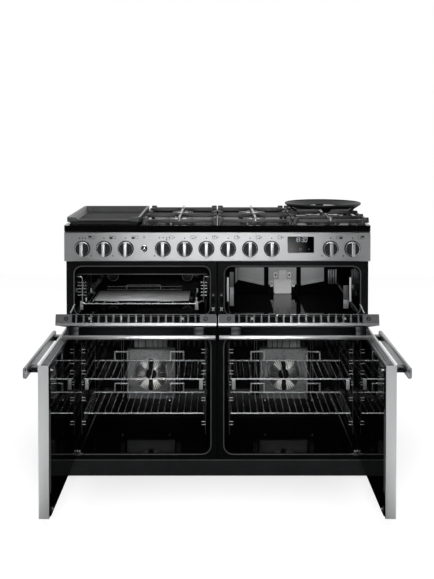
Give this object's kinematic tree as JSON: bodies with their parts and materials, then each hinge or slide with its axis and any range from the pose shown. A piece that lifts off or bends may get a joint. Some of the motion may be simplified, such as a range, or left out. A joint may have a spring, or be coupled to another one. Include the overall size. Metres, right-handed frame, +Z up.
{
  "type": "dual fuel range cooker",
  "caption": "Freestanding dual fuel range cooker with a gas hob, griddle and wok cradle over a grill, a top oven and two side-hung fan ovens, shown with every door open.",
  "frame": {"origin": "on the floor under the middle of the whole cooker with its doors open as at rest", "axes": "+X to the right of a person facing the doors, +Y towards the back, +Z up; the control panel faces -Y"},
  "size_m": [1.183, 1.116, 0.98],
  "materials": {
    "gunmetal_enamel": "satin",
    "brushed_fascia": "brushed",
    "polished_steel": "polished",
    "chrome_wire": "polished",
    "black_enamel": "gloss",
    "cavity_enamel": "gloss, finely speckled",
    "cast_iron_black": "matte enamelled",
    "galvanised": "galvanised",
    "black_glass": "gloss",
    "seal_rubber": "matte",
    "burner_aluminium": "cast",
    "brass_gas": "plain",
    "moulded_black": "moulded",
    "lamp_glass": "clear",
    "fan_steel": "pressed"
  },
  "bodies": {
    "root": {"side_panels": "gunmetal_enamel", "back_panel": "galvanised", "base_tray": "galvanised", "plinth": "gunmetal_enamel", "levelling_feet": "galvanised", "front_frame": "gunmetal_enamel", "upper_cavities": "cavity_enamel", "lower_cavities": "cavity_enamel", "oven_lamps": "lamp_glass", "door_seals": "seal_rubber", "control_panel": "brushed_fascia", "display_glass": "black_glass", "oven_switches": "moulded_black", "gas_rail": "brass_gas", "hob_top": "black_enamel", "burner_bodies": "burner_aluminium", "burner_caps": "cast_iron_black", "pan_supports": "cast_iron_black", "side_racks": "chrome_wire", "fan_covers": "cavity_enamel", "fan_motors": "galvanised", "heating_elements": "fan_steel", "cavity_vent": "polished_steel", "hinge_brackets": "polished_steel"},
    "left_outer_knob": {"left_outer_knob": "polished_steel"},
    "left_oven_knob": {"left_oven_knob": "polished_steel"},
    "left_grill_knob": {"left_grill_knob": "polished_steel"},
    "griddle_gas_knob": {"griddle_gas_knob": "polished_steel"},
    "left_front_gas_knob": {"left_front_gas_knob": "polished_steel"},
    "left_back_gas_knob": {"left_back_gas_knob": "polished_steel"},
    "right_back_gas_knob": {"right_back_gas_knob": "polished_steel"},
    "right_front_gas_knob": {"right_front_gas_knob": "polished_steel"},
    "wok_gas_knob": {"wok_gas_knob": "polished_steel"},
    "right_oven_knob": {"right_oven_knob": "polished_steel"},
    "right_outer_knob": {"right_outer_knob": "polished_steel"},
    "light_button": {"light_button": "polished_steel"},
    "left_oven_fan": {"left_oven_fan": "fan_steel"},
    "right_oven_fan": {"right_oven_fan": "fan_steel"},
    "upper_left_door": {"upper_left_door_skin": "brushed_fascia", "upper_left_door_lining": "black_glass", "upper_left_door_handle": "polished_steel"},
    "lower_left_door": {"lower_left_door_skin": "brushed_fascia", "lower_left_door_lining": "black_glass", "lower_left_door_handle": "polished_steel", "lower_left_door_window": "black_glass"},
    "upper_right_door": {"upper_right_door_skin": "brushed_fascia", "upper_right_door_lining": "black_glass", "upper_right_door_handle": "polished_steel"},
    "lower_right_door": {"lower_right_door_skin": "brushed_fascia", "lower_right_door_lining": "black_glass", "lower_right_door_handle": "polished_steel", "lower_right_door_window": "black_glass"},
    "left_upper_shelf": {"left_upper_shelf": "chrome_wire"},
    "left_lower_shelf": {"left_lower_shelf": "chrome_wire"},
    "right_upper_shelf": {"right_upper_shelf": "chrome_wire"},
    "right_lower_shelf": {"right_lower_shelf": "chrome_wire"},
    "grill_pan": {"grill_pan": "black_enamel"},
    "griddle": {"griddle": "cast_iron_black"},
    "wok_cradle": {"wok_cradle": "cast_iron_black"}
  },
  "joints": [
    {"name": "left_outer_knob_turn", "type": "hinge", "parent": "root", "child": "left_outer_knob", "pos_m": [-0.4813, -0.05, 0.8374], "axis": [0, 1, 0], "range_deg": [0, 270]},
    {"name": "left_oven_knob_turn", "type": "hinge", "parent": "root", "child": "left_oven_knob", "pos_m": [-0.404, -0.05, 0.8374], "axis": [0, 1, 0], "range_deg": [0, 270]},
    {"name": "left_grill_knob_turn", "type": "hinge", "parent": "root", "child": "left_grill_knob", "pos_m": [-0.3265, -0.05, 0.8374], "axis": [0, 1, 0], "range_deg": [0, 270]},
    {"name": "griddle_gas_knob_turn", "type": "hinge", "parent": "root", "child": "griddle_gas_knob", "pos_m": [-0.194, -0.05, 0.8374], "axis": [0, -1, 0], "range_deg": [0, 210]},
    {"name": "left_front_gas_knob_turn", "type": "hinge", "parent": "root", "child": "left_front_gas_knob", "pos_m": [-0.1164, -0.05, 0.8374], "axis": [0, -1, 0], "range_deg": [0, 210]},
    {"name": "left_back_gas_knob_turn", "type": "hinge", "parent": "root", "child": "left_back_gas_knob", "pos_m": [-0.0388, -0.05, 0.8374], "axis": [0, -1, 0], "range_deg": [0, 210]},
    {"name": "right_back_gas_knob_turn", "type": "hinge", "parent": "root", "child": "right_back_gas_knob", "pos_m": [0.0388, -0.05, 0.8374], "axis": [0, -1, 0], "range_deg": [0, 210]},
    {"name": "right_front_gas_knob_turn", "type": "hinge", "parent": "root", "child": "right_front_gas_knob", "pos_m": [0.1164, -0.05, 0.8374], "axis": [0, -1, 0], "range_deg": [0, 210]},
    {"name": "wok_gas_knob_turn", "type": "hinge", "parent": "root", "child": "wok_gas_knob", "pos_m": [0.194, -0.05, 0.8374], "axis": [0, -1, 0], "range_deg": [0, 210]},
    {"name": "right_oven_knob_turn", "type": "hinge", "parent": "root", "child": "right_oven_knob", "pos_m": [0.404, -0.05, 0.8374], "axis": [0, 1, 0], "range_deg": [0, 270]},
    {"name": "right_outer_knob_turn", "type": "hinge", "parent": "root", "child": "right_outer_knob", "pos_m": [0.4813, -0.05, 0.8374], "axis": [0, 1, 0], "range_deg": [0, 270]},
    {"name": "light_button_press", "type": "slide", "parent": "root", "child": "light_button", "axis": [0, 1, 0], "range_m": [0, 0.0025], "stiffness_N_per_m": 400},
    {"name": "left_oven_fan_spin", "type": "hinge", "parent": "root", "child": "left_oven_fan", "pos_m": [-0.268, 0.39, 0.272], "axis": [0, 1, 0], "continuous": true},
    {"name": "right_oven_fan_spin", "type": "hinge", "parent": "root", "child": "right_oven_fan", "pos_m": [0.268, 0.39, 0.272], "axis": [0, 1, 0], "continuous": true},
    {"name": "upper_left_door_close", "type": "hinge", "parent": "root", "child": "upper_left_door", "pos_m": [-0.27, -0.041, 0.5635], "axis": [-1, 0, 0], "range_deg": [0, 76.5]},
    {"name": "lower_left_door_close", "type": "hinge", "parent": "root", "child": "lower_left_door", "pos_m": [-0.5285, -0.033, 0.3], "axis": [0, 0, 1], "range_deg": [0, 90]},
    {"name": "upper_right_door_close", "type": "hinge", "parent": "root", "child": "upper_right_door", "pos_m": [0.27, -0.041, 0.5635], "axis": [-1, 0, 0], "range_deg": [0, 76.5]},
    {"name": "lower_right_door_close", "type": "hinge", "parent": "root", "child": "lower_right_door", "pos_m": [0.5285, -0.033, 0.3], "axis": [0, 0, -1], "range_deg": [0, 90]},
    {"name": "left_upper_shelf_slide", "type": "slide", "parent": "root", "child": "left_upper_shelf", "axis": [0, 1, 0], "range_m": [-0.25, 0]},
    {"name": "left_lower_shelf_slide", "type": "slide", "parent": "root", "child": "left_lower_shelf", "axis": [0, 1, 0], "range_m": [-0.25, 0]},
    {"name": "right_upper_shelf_slide", "type": "slide", "parent": "root", "child": "right_upper_shelf", "axis": [0, 1, 0], "range_m": [-0.25, 0]},
    {"name": "right_lower_shelf_slide", "type": "slide", "parent": "root", "child": "right_lower_shelf", "axis": [0, 1, 0], "range_m": [-0.25, 0]},
    {"name": "grill_pan_slide", "type": "slide", "parent": "root", "child": "grill_pan", "axis": [0, 1, 0], "range_m": [-0.14, 0]},
    {"name": "griddle_lift", "type": "slide", "parent": "root", "child": "griddle", "axis": [0, 0, 1], "range_m": [0, 0.1]},
    {"name": "wok_cradle_lift", "type": "slide", "parent": "root", "child": "wok_cradle", "axis": [0, 0, 1], "range_m": [0, 0.1]}
  ]
}
